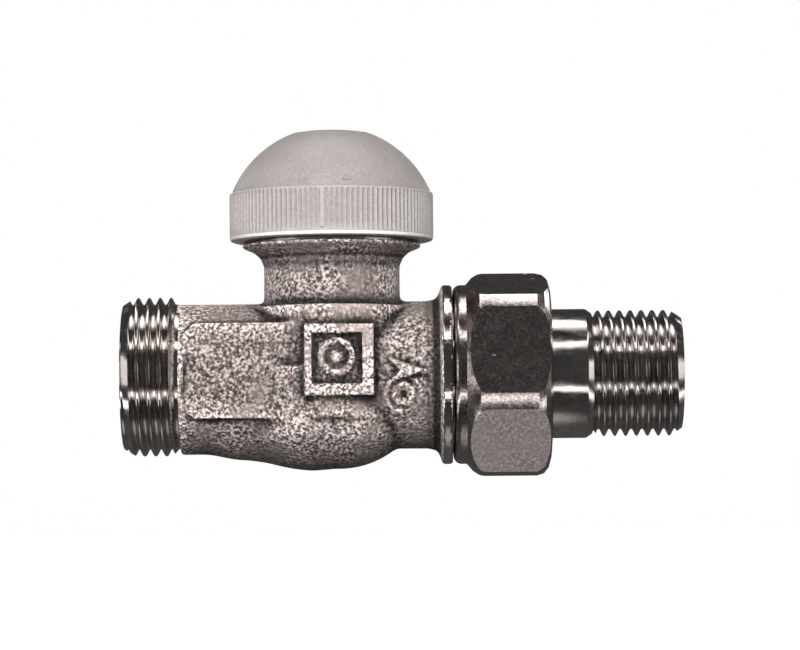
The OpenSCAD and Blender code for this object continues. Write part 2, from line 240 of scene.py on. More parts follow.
def hexagon_prism(name, across_flats, low, high, turn_deg):
    """Hexagon bar along the pipe axis. turn_deg turns its first corner from the front (-Y) downwards."""
    r = across_flats / 2 / math.cos(math.radians(30))
    angles = [math.radians(180 + turn_deg + 60 * k) for k in range(6)]
    verts = [(x, r * math.cos(a), r * math.sin(a)) for x in (low, high) for a in angles]
    faces = [(5, 4, 3, 2, 1, 0), (6, 7, 8, 9, 10, 11)]
    faces += [(k, (k + 1) % 6, 6 + (k + 1) % 6, 6 + k) for k in range(6)]
    return outward(mesh_piece(name, verts, faces))


def shade(piece, sharp_deg=30):
    piece.data.shade_smooth()
    with bpy.context.temp_override(object=piece, active_object=piece, selected_objects=[piece],
                                   selected_editable_objects=[piece]):
        bpy.ops.object.shade_smooth_by_angle(angle=math.radians(sharp_deg))


def face_centres(piece):
    count = len(piece.data.polygons)
    centre = np.empty(count * 3)
    piece.data.polygons.foreach_get("center", centre)
    return centre.reshape(-1, 3) / MM


def set_material_by_face(piece, materials, index):
    piece.data.materials.clear()
    for material in materials:
        piece.data.materials.append(material)
    piece.data.polygons.foreach_set("material_index", index.astype(np.int32))
    piece.data.update()


# ---- the casting, as a blended distance field -------------------------------------------------

def blend_min(a, b, k):
    h = np.clip(0.5 + 0.5 * (b - a) / k, 0, 1)
    return b + (a - b) * h - k * h * (1 - h)


def blend_max(a, b, k):
    return -blend_min(-a, -b, k)


def rod(radial, along, r, low, high, k=0.6):
    return blend_max(radial - r, np.maximum(low - along, along - high), k)


def turned_field(radial, along, points, low, high, k=0.4):
    """Field of a turned shape whose radius is interpolated between (along, radius) points."""
    places, radii = zip(*points)
    side = (radial - np.interp(along, places, radii)) * 0.85
    return blend_max(side, np.maximum(low - along, along - high), k)


def outline_distance(x, z, corners):
    """Signed distance to a polygon in the X-Z plane."""
    squared = np.inf
    inside = False
    for (ax, az), (bx, bz) in zip(corners, corners[1:] + corners[:1]):
        dx, dz = bx - ax, bz - az
        t = np.clip(((x - ax) * dx + (z - az) * dz) / (dx * dx + dz * dz), 0, 1)
        squared = np.minimum(squared, (x - ax - t * dx) ** 2 + (z - az - t * dz) ** 2)
        crosses = ((az > z) != (bz > z)) & (x < ax + (z - az) * dx / (dz or 1))
        inside = inside ^ crosses
    return np.where(inside, -1, 1) * np.sqrt(squared)


def spanner_pad(x, y, z):
    """Prism across the barrel with a flat on each side and cut corners at its left end."""
    (x0, x1), (z0, z1), corner = FLAT_X, FLAT_Z, 2.0
    outline = outline_distance(x, z, [
        (x0, z0 + corner), (x0 + corner, z0), (x1, z0), (x1, z1), (x0 + corner, z1), (x0, z1 - corner)])
    return blend_max(outline, np.abs(y) - FLAT_Y, 0.5)


def square_pad(x, y, z):
    """Raised square on the front, with a ring and a dot in its shallow recess."""
    face, floor, foot = -13.45, -12.7, -9
    centre_x, centre_z, ring_r, dot_r, mark_h = 35.6, 2.7, 2.6, 0.8, 0.45
    outer = outline_distance(x, z, [(30.5, -3.5), (41.5, -3.5), (41.5, 7.8), (30.5, 7.8)])
    inner = outline_distance(x, z, [(31.5, -1.8), (39.8, -1.8), (39.8, 6.5), (31.5, 6.5)])
    pad = blend_max(blend_max(outer - 0.2, face - y, 0.45), y - foot, 0.3)
    recess = np.maximum(inner, y - floor)
    centre = np.hypot(x - centre_x, z - centre_z)
    mark = np.minimum(np.abs(centre - ring_r) - 0.38, centre - dot_r)
    mark = np.maximum(mark, floor - mark_h - y)
    return blend_min(blend_max(pad, -recess, 0.3), np.maximum(mark, y - floor - 1), 0.25)


def flow_marks(x, z):
    """How proud the flow arrow and the small round mark under it stand on the front."""
    arrow = outline_distance(x, z, [(50.2, 0.3), (44.3, 2.3), (46.0, 0.35), (44.3, -1.6)])
    centre = np.hypot(x - 46.5, z + 3.5)
    ring = np.minimum(np.abs(centre - 1.55) - 0.2, np.abs(centre - 2.9) - 0.12)
    dimple = centre - 0.55

    def within(distance):
        return np.clip(0.5 - distance / 0.3, 0, 1)

    return 0.65 * within(arrow) + 0.25 * within(ring) - 0.35 * within(dimple)


def casting_field(x, y, z):
    """Distance to the skin of the casting, negative inside it."""
    pipe = np.hypot(y, z)
    neck = np.hypot(x - NECK_X, y)
    left = rod(np.hypot(y, z + 0.5), x, 12.5, 9.45, 34, 0.5)
    duct_x, duct_length, duct_drop, duct_r = 20.5, 10.5, 1.7, 10.95
    t = np.clip((x - duct_x) / duct_length, 0, 1)
    duct = np.sqrt((x - duct_x - duct_length * t) ** 2 + y * y + (z + 3.0 + duct_drop * t) ** 2) - duct_r
    left = blend_min(left, duct, 1.5)
    flats_gap = np.maximum(
        np.maximum(FLAT_X[0] - x, x - FLAT_X[1]), np.maximum(FLAT_Z[0] - z, z - FLAT_Z[1]))
    left = blend_max(left, -np.maximum(flats_gap, FLAT_Y - np.abs(y)), 0.3)
    left = blend_min(left, spanner_pad(x, y, z), 0.35)
    right = turned_field(pipe, x, [
        (34, 12.2), (FLANGE_START - 2.2, 12.3), (FLANGE_START - 0.9, 12.6), (FLANGE_START - 0.3, 13.3),
        (FLANGE_START, 14.3), (FLANGE_START + 0.25, FLANGE_R), (FLANGE_END, FLANGE_R)
    ], 34, FLANGE_END)
    housing = rod(neck, z, 12.95, -7, 11.35, 0.5)
    bowl_r, bowl_side_r = 15.05, 12.4
    bowl_x = x - np.clip(x, 30.6, 35.8)
    bottom = np.sqrt(bowl_x ** 2 + y * y + (z + 0.5) ** 2) - bowl_r
    bottom = blend_max(bottom, np.maximum(np.hypot(bowl_x, y) - bowl_side_r, z - 1), 1.6)
    upright = turned_field(neck, z, [
        (0, 11.35), (18.2, 11.3), (19.6, 11.9), (20.6, 13.0), (21.2, 14.5), (21.4, FLANGE_R),
        (21.9, FLANGE_R)
    ], 0, RIM_Z)
    field = blend_min(left, blend_min(housing, bottom, 0.8), 0.8)
    field = blend_min(field, right, 0.5)
    field = blend_min(field, upright, 0.9)
    field = blend_min(field, square_pad(x, y, z), 0.35)
    return field - flow_marks(x, z) * (y < -8)


def surface_net(field, low, step):
    """Closed quad mesh on the zero level of a sampled field."""
    inside = field < 0
    nx, ny, nz = np.array(field.shape) - 1
    corner = [(i, j, k) for i in (0, 1) for j in (0, 1) for k in (0, 1)]

    def part(a, c):
        i, j, k = c
        return a[i:i + nx, j:j + ny, k:k + nz]

    count = sum(part(inside, c).astype(np.int8) for c in corner)
    cell = (count > 0) & (count < 8)
    where = np.argwhere(cell)
    total = np.zeros((len(where), 3))
    hits = np.zeros(len(where))
    for a in corner:
        for d in range(3):
            if a[d]:
                continue
            b = tuple(a[m] + (m == d) for m in range(3))
            fa = field[where[:, 0] + a[0], where[:, 1] + a[1], where[:, 2] + a[2]]
            fb = field[where[:, 0] + b[0], where[:, 1] + b[1], where[:, 2] + b[2]]
            cross = (fa < 0) != (fb < 0)
            t = np.where(cross, fa / np.where(cross, fa - fb, 1), 0)
            point = np.array(a, float)[None, :] + t[:, None] * np.eye(3)[d][None, :]
            total += point * cross[:, None]
            hits += cross
    verts = low + (where + total / hits[:, None]) * step
    index = -np.ones(cell.shape, int)
    index[tuple(where.T)] = np.arange(len(where))
    quads = []
    for d in range(3):
        e, g = (d + 1) % 3, (d + 2) % 3
        ahead = np.roll(inside, -1, d)
        change = inside != ahead
        slices = [slice(1, -1)] * 3
        slices[d] = slice(0, -1)
        edges = np.argwhere(change[tuple(slices)]) + np.array([0 if m == d else 1 for m in range(3)])
        unit_e, unit_g = np.eye(3, dtype=int)[e], np.eye(3, dtype=int)[g]
        ring = [edges - unit_e - unit_g, edges - unit_g, edges, edges - unit_e]
        quad = np.stack([index[tuple(r.T)] for r in ring], 1)
        flip = ~inside[tuple(edges.T)]
        quad[flip] = quad[flip][:, ::-1]
        quads.append(quad)
    return verts, np.concatenate(quads)


def soften_field(field, passes):
    """Binomial blur along all three axes."""
    for _ in range(passes):
        for axis in range(3):
            ahead, behind = np.roll(field, -1, axis), np.roll(field, 1, axis)
            field = 0.5 * field + 0.25 * (ahead + behind)
    return field


def sample(grid, low, step, points):
    """Values of a grid at points, interpolated."""
    place = np.clip((points - low) / step, 0, np.array(grid.shape) - 1.001)
    base = place.astype(int)
    part = place - base
    total = 0
    for corner in np.ndindex(2, 2, 2):
        weight = np.prod(np.where(corner, part, 1 - part), 1)
        total = total + weight * grid[tuple((base + corner).T)]
    return total


def casting():
    """The cast skin without its bores and machined ends, and how concave or proud each place on it is, as
    maps for painted highlights and painted shade.
    """
    fine_step, quick_step = 0.29, 0.5
    step = fine_step
    low = np.array([8.5, -16.5, -17.0])
    high = np.array([FLANGE_END + 0.8, 16.5, 23.0])
    axes = [np.arange(low[d], high[d], step) for d in range(3)]
    x, y, z = np.meshgrid(*axes, indexing="ij", sparse=True)
    field = casting_field(x, y, z)
    verts, quads = surface_net(field, low, step)
    scale = (fine_step / step) ** 2
    fine = (soften_field(field, max(2, int(6 * scale))) - field) / fine_step
    broad = (soften_field(field, max(6, int(40 * scale))) - field) / fine_step

    # Maps that paint light into the colour: the first gives a painted highlight on rounded corners and
    # painted shade in creases, the second gives painted shade in broad concave places.
    def edges(points):
        near, far = sample(fine, low, step, points), sample(broad, low, step, points)
        return np.clip(0.5 + 1.7 * (near - 0.05), 0, 1), np.clip(0.5 + 0.5 * (far - 0.35), 0, 1)

    return outward(mesh_piece("valve_casting", verts, quads.tolist())), edges


# ---- pieces -----------------------------------------------------------------------------------

def rod_envelope(name, low, high, r, chamfer_low, chamfer_high, root, axis="x"):
    """What a thread is cut to: a rod with a chamfered or a run-out end."""
    return lathe(name, [
        (low, 0), (low, root if chamfer_low else r), (low + chamfer_low, r + 0.01),
        (high - chamfer_high, r + 0.01), (high, root if chamfer_high else r), (high, 0)
    ], axis)


def threaded_end(name, r, depth, pitch, low, high, chamfers, axis="x", phase=0.0):
    end = thread_rod(name, r, depth, pitch, low, high, axis, phase=phase)
    envelope = rod_envelope(name + "_cut", low, high, r, chamfers[0], chamfers[1], r - depth - 0.05, axis)
    return combine(end, "INTERSECT", [envelope])


def water_ways():
    """The hollows of the body.

    They are the frame's, except that the duct from the inlet to the seat is a plain round bore here. It
    takes away the wall above the duct and the inlet's half of the seat, which the frame has."""
    seat_low, seat_top, seat_r, rim_r, floor_z = -2.5, 1.3, 5.5, 7.0, 0.5
    inlet = lathe("inlet", [(-1, 0), (-1, 9.7), (0, 9.2), (2.4, BORE_R), (19, BORE_R), (19, 0)])
    duct = lathe("duct_round", [(14, 0), (14, 9.9), (34, 9.9), (34, 0)])
    stack = lathe("stack", [
        (-12.2, 0), (-12.2, rim_r), (seat_low, rim_r), (seat_low, seat_r), (seat_top, seat_r),
        (seat_top, rim_r), (floor_z, rim_r), (floor_z, 8.6), (13, 8.6), (13, 9.1), (20.9, 9.1),
        (20.9, NECK_BORE_R), (29.6, NECK_BORE_R), (29.6, 0)
    ], "z")
    cross = combine(
        lathe("cross", [(NECK_X + 0.5, 0), (NECK_X + 0.5, BORE_R), (46, BORE_R), (46, 0)]), "INTERSECT",
        [block("above", (NECK_X, -9, floor_z), (47, 9, 10))])
    seat_keep = lathe("seat_keep", [
        (-5, 0), (-5, rim_r + 0.01), (seat_top, rim_r + 0.01), (seat_top, 0)], "z")
    cross = combine(cross, "DIFFERENCE", [seat_keep])
    outlet = lathe("outlet", [
        (44.9, 0), (44.9, BORE_R), (CONE_START, BORE_R), (BODY_HIGH.x, 10.4), (BODY_HIGH.x + 1, 10.9),
        (BODY_HIGH.x + 1, 0)])
    return [inlet, duct, stack, cross, outlet]


def valve_body(cast, machined):
    body, edges = casting()
    inlet_root, outlet_root = G34_R - PIPE_DEPTH - 0.06, OUTLET_R - PIPE_DEPTH - 0.06
    outlet_x = FLANGE_END + 0.8
    ends = [
        threaded_end("inlet_thread", G34_R, PIPE_DEPTH, PIPE_PITCH, 0, G34_END, (2.0, 1.1), phase=0.1),
        lathe("inlet_relief", [(7.5, 0), (7.5, inlet_root), (10.5, inlet_root), (10.5, 0)]),
        threaded_end(
            "outlet_thread", OUTLET_R, PIPE_DEPTH, PIPE_PITCH, outlet_x, BODY_HIGH.x, (1.1, 1.15)),
        lathe("outlet_relief", [
            (FLANGE_END - 0.6, 0), (FLANGE_END - 0.6, outlet_root), (FLANGE_END + 1.4, outlet_root),
            (FLANGE_END + 1.4, 0)]),
        threaded_end(
            "head_thread", HEAD_R, HEAD_DEPTH, HEAD_PITCH, HEAD_THREAD_LOW, HEAD_THREAD_HIGH,
            (0.9, 0.95), "z"),
        lathe("head_relief", [(21, 0), (21, 13.0), (24, 13.0), (24, 0)], "z"),
    ]
    body = combine(body, "UNION", ends)
    body = combine(body, "DIFFERENCE", water_ways())
    body.name = body.data.name = "valve_body_casting"
    centre = face_centres(body)
    pipe = np.hypot(centre[:, 1], centre[:, 2])
    neck = np.hypot(centre[:, 0] - NECK_X, centre[:, 1])
    on_neck = centre[:, 2] > RIM_Z - 0.15
    flange = (centre[:, 0] > FLANGE_END - 1.6) & (pipe > 12.9)
    bored = (pipe < BORE_R + 0.2) | ((neck < NECK_BORE_R + 0.05) & (centre[:, 2] > -2))
    turned = (centre[:, 0] < G34_END + 0.5) | (centre[:, 0] > FLANGE_END - 0.3) | on_neck | flange | bored
    set_material_by_face(body, [cast, machined], turned)
    # Both curvature maps go on the skin as point attributes, for the painted highlight and painted shade.
    place = np.empty(len(body.data.vertices) * 3)
    body.data.vertices.foreach_get("co", place)
    for key, values in zip(("edge", "hollow_shade"), edges(place.reshape(-1, 3) / MM)):
        body.data.attributes.new(key, "FLOAT", "POINT").data.foreach_set("value", values.astype(np.float32))
    shade(body)
    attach(body, "valve_body")
    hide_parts("valve_body")


def union_nut(material):
    x0, x1 = NUT_LOW.x, NUT_HIGH.x
    across, corner_r, turn_deg = 31.0, 17.15, 17
    collar_end, round_r = x0 + 2.4, 1.3
    arc = []
    for degrees in range(0, 91, 15):
        a = math.radians(degrees)
        arc.append((x0 + round_r * (1 - math.cos(a)), FLANGE_R - round_r + round_r * math.sin(a)))
    outside = [(x0, 0)] + arc + [
        (collar_end - 0.25, FLANGE_R), (collar_end, FLANGE_R + 0.25), (collar_end + 0.75, corner_r - 1.1),
        (collar_end + 1.9, corner_r - 0.2), (collar_end + 2.6, corner_r), (x1 - 2.4, corner_r),
        (x1 - 1.2, corner_r - 0.5), (x1 - 0.4, corner_r - 1.5), (x1, corner_r - 2.9), (x1, 0)
    ]
    nut = hexagon_prism("union_nut_body", across, x0 - 1, x1 + 1, turn_deg)
    soften(nut, 0.4)
    nut = combine(nut, "INTERSECT", [lathe("nut_outside", outside, segments=192)])
    shoulder_x = COLLAR_END + 0.05
    bore = lathe("nut_bore", [
        (x0 - 1, 0), (x0 - 1, 13.95), (x0, 13.95), (x0 + 0.8, 13.15), (x0 + 1.0, 12.2),
        (shoulder_x, 12.25), (shoulder_x, TAIL_R + 0.1), (x1 - 0.5, TAIL_R + 0.1), (x1, TAIL_R + 0.6),
        (x1 + 1, TAIL_R + 0.6), (x1 + 1, 0)
    ])
    female = thread_rod("nut_thread", OUTLET_R, PIPE_DEPTH, PIPE_PITCH, x0, 62.6, grow=THREAD_GAP)
    female = combine(female, "INTERSECT", [lathe("nut_thread_cut", [
        (x0 - 0.5, 0), (x0 - 0.5, 13.16), (62.0, 13.16), (63.1, 12.1), (63.1, 0)])])
    nut = combine(nut, "DIFFERENCE", [bore, female])
    finish_piece(nut, material, "nut", "union_nut", 16)


def soften(piece, width):
    """Rounds the edges of a plain bar."""
    modifier = piece.modifiers.new("soften", "BEVEL")
    modifier.width = width * MM
    modifier.segments = 6
    modifier.limit_method = "ANGLE"
    apply_modifiers(piece)


def tailpiece(material):
    end_x, root = TAIL_HIGH.x, R12_R - PIPE_DEPTH
    groove_low, groove_high, groove_r = 59.6, 61.0, 8.2

    def nose_r(x):
        return BORE_R + (x - CONE_START) / 2 - 0.1

    outline = [
        (NOSE_X, 0), (NOSE_X, nose_r(NOSE_X)), (groove_low, nose_r(groove_low)), (groove_low, groove_r),
        (groove_high, groove_r), (groove_high, nose_r(groove_high)),
        (COLLAR_START, nose_r(COLLAR_START)), (COLLAR_START, COLLAR_R - 0.3),
        (COLLAR_START + 0.3, COLLAR_R), (COLLAR_END - 0.3, COLLAR_R), (COLLAR_END, COLLAR_R - 0.3),
        (COLLAR_END, TAIL_R + 0.3), (COLLAR_END + 0.3, TAIL_R), (76.7, TAIL_R), (76.95, TAIL_R - 0.1),
        (R12_START - 0.1, 10.05), (R12_START + 0.15, root + 0.1), (R12_START + 0.5, root - 0.06),
        (80, root - 0.06), (80, 0)
    ]
    tail = lathe("tailpiece_tube", outline)
    thread = threaded_end(
        "tail_thread", R12_R, PIPE_DEPTH, PIPE_PITCH, R12_START, end_x, (0.9, 1.9), phase=0.3)
    tail = combine(tail, "UNION", [thread])
    bore = lathe("tail_bore", [
        (NOSE_X - 1, 0), (NOSE_X - 1, TAIL_BORE_R + 0.9), (NOSE_X + 0.4, TAIL_BORE_R),
        (end_x - 0.6, TAIL_BORE_R), (end_x, TAIL_BORE_R + 0.6), (end_x + 1, TAIL_BORE_R + 0.6),
        (end_x + 1, 0)
    ])
    tail = combine(tail, "DIFFERENCE", [bore])
    finish_piece(tail, material, "tailpiece", "tailpiece")


def finish_piece(piece, material, body, node, sharp_deg=30):
    piece.data.materials.clear()
    piece.data.materials.append(material)
    shade(piece, sharp_deg)
    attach(piece, body)
    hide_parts(node)


def cap_profile():
    """Outside of the cap, upwards: (height above the cap's bottom, radius, share of the flute depth)."""
    ring_h = 8.1
    dome_r, dome_drop = 17.95, 6.8
    ring = [(0, CAP_R - 1.5, 0), (0, CAP_R - 0.5, 0), (0.12, CAP_R - 0.2, 0), (0.4, CAP_R - 0.05, 0),
            (0.75, CAP_R, 0), (1.0, CAP_R, 0.6)]
    ring += [(1.0 + 6.4 * k / 6, CAP_R, 1) for k in range(1, 7)]
    ring += [(7.7, CAP_R - 0.02, 0.2), (7.95, CAP_R - 0.15, 0), (8.05, CAP_R - 0.35, 0),
             (7.9, CAP_R - 0.5, 0)]
    crown = CAP_HIGH.z - CAP_LOW.z
    start = math.asin((0.35 + dome_drop) / dome_r)
    stop = math.asin((crown - ring_h + dome_drop) / dome_r) - 0.05
    dome = []
    for k in range(22):
        a = start + (stop - start) * k / 21
        dome.append((ring_h - dome_drop + dome_r * math.sin(a), dome_r * math.cos(a), 0))
    top_r = dome[-1][1]
    dome += [(crown - 0.18, top_r - 0.8, 0), (crown - 0.05, top_r - 1.6, 0), (crown, top_r - 2.6, 0),
             (crown, top_r - 4.2, 0)]
    return ring + dome


def screw_cap(material):
    flutes, per_flute, depth = 120, 8, 0.28
    columns = flutes * per_flute
    angle = np.linspace(0, 2 * math.pi, columns, endpoint=False)
    wave = (0.5 - 0.5 * np.cos(angle * flutes)) ** 0.7
    profile = np.array(cap_profile())
    outer_h = CAP_LOW.z + profile[:, 0][:, None]
    outer_r = profile[:, 1][:, None] - depth * profile[:, 2][:, None] * wave[None, :]
    outside = axis_points(outer_r, outer_h, angle[None, :], "z")
    inside_profile = np.array([
        (38.6, 5.0), (38.2, 8.2), (36.4, 10.8), (33.6, 12.8), (31.0, 13.3), (29.5, 13.3),
        (29.5, HEAD_R + THREAD_GAP), (23.0, HEAD_R + THREAD_GAP), (CAP_LOW.z, HEAD_R + 0.6)
    ])
    inside = axis_points(inside_profile[:, 1][:, None], inside_profile[:, 0][:, None], angle[None, :], "z")
    rings = np.concatenate([inside, outside])
    count = len(rings)
    boss = lathe("cap_boss", [(33.05, 0), (33.05, 3.2), (33.4, 3.6), (39.5, 3.6), (39.5, 0)], "z")
    centres = np.array([[NECK_X, 0, inside_profile[0, 0]], [NECK_X, 0, CAP_HIGH.z]])
    verts = np.concatenate([rings.reshape(-1, 3), centres])
    faces = []
    for j in range(columns):
        k = (j + 1) % columns
        faces.append((count * columns, j, k))
        faces.append((count * columns + 1, (count - 1) * columns + k, (count - 1) * columns + j))
        faces += [(i * columns + j, (i + 1) * columns + j, (i + 1) * columns + k, i * columns + k)
                  for i in range(count - 1)]
    cap = outward(mesh_piece("screw_cap_shell", verts, faces))
    depths = np.concatenate([np.zeros(len(inside_profile)), profile[:, 2]])[:, None] * wave[None, :]
    groove_shade_mask = np.concatenate([depths.ravel(), [0, 0]]).astype(np.float32)
    cap.data.attributes.new("flute", "FLOAT", "POINT").data.foreach_set("value", groove_shade_mask)
    combine(cap, "UNION", [boss] + cap_marks())
    finish_piece(cap, material, "cap", "screw_cap", 40)


def cap_marks():
    """Pointer rib down the grip ring, with a plus and a minus mark beside it at the foot of the dome."""
    front, foot_r = -math.pi / 2 - 0.07, 16.4
    return [
        curved_bar("minus", front - 0.20, 0.045, 31.2, 31.6, foot_r - 1.2, foot_r),
        curved_bar("plus_bar", front + 0.24, 0.045, 31.4, 31.8, foot_r - 1.2, foot_r),
        curved_bar("plus_post", front + 0.24, 0.012, 31.0, 32.2, foot_r - 1.2, foot_r - 0.2),
        curved_bar("pointer", front, 0.017, 23.6, 30.3, CAP_R - 0.6, CAP_R + 0.12)
    ]


def curved_bar(name, angle, half_angle, low, high, r_in, r_out):
    """Small upright block that follows the cap's curve."""
    steps = 6
    turns = [angle - half_angle + 2 * half_angle * k / steps for k in range(steps + 1)]
    verts = [
        (NECK_X + r * math.cos(t), r * math.sin(t), h)
        for h in (low, high) for r in (r_in, r_out) for t in turns
    ]

    def at(h, r, t):
        return (h * 2 + r) * len(turns) + t

    faces = []
    for t in range(steps):
        faces += [
            (at(0, 0, t), at(0, 0, t + 1), at(0, 1, t + 1), at(0, 1, t)),
            (at(1, 0, t), at(1, 1, t), at(1, 1, t + 1), at(1, 0, t + 1)),
            (at(0, 1, t), at(0, 1, t + 1), at(1, 1, t + 1), at(1, 1, t)),
            (at(0, 0, t), at(1, 0, t), at(1, 0, t + 1), at(0, 0, t + 1)),
        ]
    faces.append((at(0, 0, 0), at(0, 1, 0), at(1, 1, 0), at(1, 0, 0)))
    faces.append((at(0, 0, steps), at(1, 0, steps), at(1, 1, steps), at(0, 1, steps)))
    return outward(mesh_piece(name, verts, faces))


def return_spring(material):
    """Round-wire compression spring with closed end coils, from the insert's floor to the stem's plate."""
    coils, coil_r, wire_r, sides = 5.5, 4.0, 0.38, 12
    rings = int(coils * 36)
    low, high = SPRING_LOW.z + wire_r, SPRING_HIGH.z - wire_r
    verts = []
    for i in range(rings + 1):
        turn = coils * i / rings
        closed = np.interp(turn, [0, 0.75, coils - 0.75, coils], [0, 0.09, 0.91, 1])
        height = low + (high - low) * closed
        a = 2 * math.pi * turn
        for k in range(sides):
            b = 2 * math.pi * k / sides
            r = coil_r + wire_r * math.cos(b)
            verts.append((NECK_X + r * math.cos(a), r * math.sin(a), height + wire_r * math.sin(b)))
    faces = [
        (i * sides + k, i * sides + (k + 1) % sides, (i + 1) * sides + (k + 1) % sides, (i + 1) * sides + k)
        for i in range(rings) for k in range(sides)
    ]
    faces.append(tuple(range(sides - 1, -1, -1)))
    faces.append(tuple(rings * sides + k for k in range(sides)))
    spring = outward(mesh_piece("return_spring_wire", verts, faces))
    spring.data.materials.append(material)
    shade(spring)
    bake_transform(spring)
    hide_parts("return_spring")


# ---- materials --------------------------------------------------------------------------------

class Material:
    """Short calls for the nodes of one material, in object coordinates."""

    def __init__(self, name, **surface):
        self.material = bpy.data.materials.new(name)
        self.material.use_nodes = True
        self.tree = self.material.node_tree
        self.shader = self.tree.nodes["Principled BSDF"]
        for key, value in surface.items():
            self.shader.inputs[key.replace("_", " ")].default_value = value
        self.place = self.tree.nodes.new("ShaderNodeTexCoord").outputs["Object"]

    def link(self, source, target):
        self.tree.links.new(source, target)

    def stretched(self, x, y, z):
        node = self.tree.nodes.new("ShaderNodeMapping")
        node.inputs["Scale"].default_value = (x, y, z)
        self.link(self.place, node.inputs["Vector"])
        return node.outputs["Vector"]

    def noise(self, size_mm, detail=3.0, rough=0.55, place=None):
        node = self.tree.nodes.new("ShaderNodeTexNoise")
        node.inputs["Scale"].default_value = 1 / (size_mm * MM)
        node.inputs["Detail"].default_value = detail
        node.inputs["Roughness"].default_value = rough
        self.link(place or self.place, node.inputs["Vector"])
        return node.outputs["Fac"]

    def attribute(self, name):
        node = self.tree.nodes.new("ShaderNodeAttribute")
        node.attribute_name = name
        return node.outputs["Fac"]

    def cells(self, size_mm, place=None):
        node = self.tree.nodes.new("ShaderNodeTexVoronoi")
        node.inputs["Scale"].default_value = 1 / (size_mm * MM)
        self.link(place or self.place, node.inputs["Vector"])
        return node.outputs["Distance"]

    def ramp(self, source, stops):
        node = self.tree.nodes.new("ShaderNodeValToRGB")
        elements = node.color_ramp.elements
        while len(elements) < len(stops):
            elements.new(0.5)
        for element, (at, colour) in zip(elements, stops):
            element.position = at
            element.color = (*colour, 1) if isinstance(colour, tuple) else (colour, colour, colour, 1)
        self.link(source, node.inputs["Fac"])
        return node.outputs["Color"]

    def math(self, operation, a, b):
        node = self.tree.nodes.new("ShaderNodeMath")
        node.operation = operation
        for socket, value in zip(node.inputs, (a, b)):
            if isinstance(value, (int, float)):
                socket.default_value = value
            else:
                self.link(value, socket)
        return node.outputs["Value"]

    def mix(self, fac, a, b, mode="MIX"):
        node = self.tree.nodes.new("ShaderNodeMix")
        node.data_type = "RGBA"
        node.blend_type = mode
        for key, value in ((0, fac), (6, a), (7, b)):
            if isinstance(value, (int, float)):
                node.inputs[key].default_value = value
            elif isinstance(value, tuple):
                node.inputs[key].default_value = (*value, 1)
            else:
                self.link(value, node.inputs[key])
        return node.outputs[2]

    def colour(self, source):
        self.link(source, self.shader.inputs["Base Color"])

    def roughness(self, source):
        self.link(source, self.shader.inputs["Roughness"])

    def bump(self, layers):
        """Layers of (height, depth in mm), stacked."""
        normal = None
        for height, depth_mm in layers:
            node = self.tree.nodes.new("ShaderNodeBump")
            node.inputs["Strength"].default_value = 1.0
            node.inputs["Distance"].default_value = depth_mm * MM
            self.link(height, node.inputs["Height"])
            if normal:
                self.link(normal, node.inputs["Normal"])
            normal = node.outputs["Normal"]
        self.link(normal, self.shader.inputs["Normal"])


def cast_nickel():
    m = Material("cast_nickel", Metallic=0.25, Roughness=0.5)
    grain = m.noise(0.52, 2, 0.5)
    lumps = m.noise(1.8, 3, 0.55)
    patches = m.noise(7.0, 4, 0.6)
    pit, skin, peak = (0.055, 0.041, 0.038), (0.265, 0.217, 0.205), (0.76, 0.665, 0.63)
    tone = m.ramp(grain, [(0.36, pit), (0.5, skin), (0.63, peak)])
    plain = m.mix(m.ramp(patches, [(0.38, 0.75), (0.52, 0.0)]), tone, (0.262, 0.214, 0.202))
    # Painted highlight on rounded corners and painted shade in creases and concave places, multiplied into
    # the colour.
    edge = m.ramp(m.attribute("edge"), [(0.0, 0.14), (0.42, 0.84), (0.55, 1.0), (1.0, 1.45)])
    hollow_shade = m.ramp(m.attribute("hollow_shade"), [(0.0, 0.5), (0.5, 1.0), (1.0, 1.05)])
    m.colour(m.mix(1.0, m.mix(1.0, plain, edge, "MULTIPLY"), hollow_shade, "MULTIPLY"))
    m.roughness(m.ramp(grain, [(0.3, 0.60), (0.7, 0.40)]))
    m.bump([(lumps, 0.30), (grain, 0.26)])
    return m.material


def machined_nickel(name="machined_nickel", roughness=(0.09, 0.20), tone=(0.74, 0.695, 0.67)):
    m = Material(name, Metallic=1.0, Roughness=0.2)
    turning = m.noise(0.16, 2, 0.5, m.stretched(1, 0.02, 0.02))
    stain = m.noise(3.0, 4, 0.6)
    scuff = m.noise(0.8, 2, 0.5, m.stretched(0.25, 1, 1))
    dark = tuple(0.62 * c for c in tone)
    m.colour(m.mix(m.ramp(stain, [(0.35, 0.0), (0.7, 1.0)]), tone, dark))
    m.roughness(m.ramp(scuff, [(0.35, roughness[0]), (0.7, roughness[1])]))
    m.bump([(turning, 0.012), (scuff, 0.01)])
    return m.material


def nut_nickel():
    m = Material("nut_nickel", Metallic=1.0, Roughness=0.2)
    grain = m.noise(0.5, 3, 0.6)
    scuff = m.noise(1.6, 3, 0.6)
    patches = m.noise(5.0, 4, 0.6)
    nicks = m.cells(2.4, m.stretched(0.45, 1.0, 1.5))
    pit, skin, peak = (0.28, 0.24, 0.228), (0.46, 0.405, 0.39), (0.80, 0.73, 0.70)
    tone = m.ramp(grain, [(0.36, pit), (0.52, skin), (0.68, peak)])
    tone = m.mix(m.ramp(patches, [(0.38, 0.5), (0.62, 0.1)]), tone, (0.52, 0.465, 0.45))
    worn = m.ramp(nicks, [(0.05, 1.0), (0.10, 0.0)])
    m.colour(m.mix(worn, tone, (1.0, 0.97, 0.95)))
    m.roughness(m.mix(worn, m.ramp(scuff, [(0.3, 0.13), (0.7, 0.25)]), (0.6, 0.6, 0.6)))
    m.bump([(scuff, 0.015), (grain, 0.012)])
    return m.material


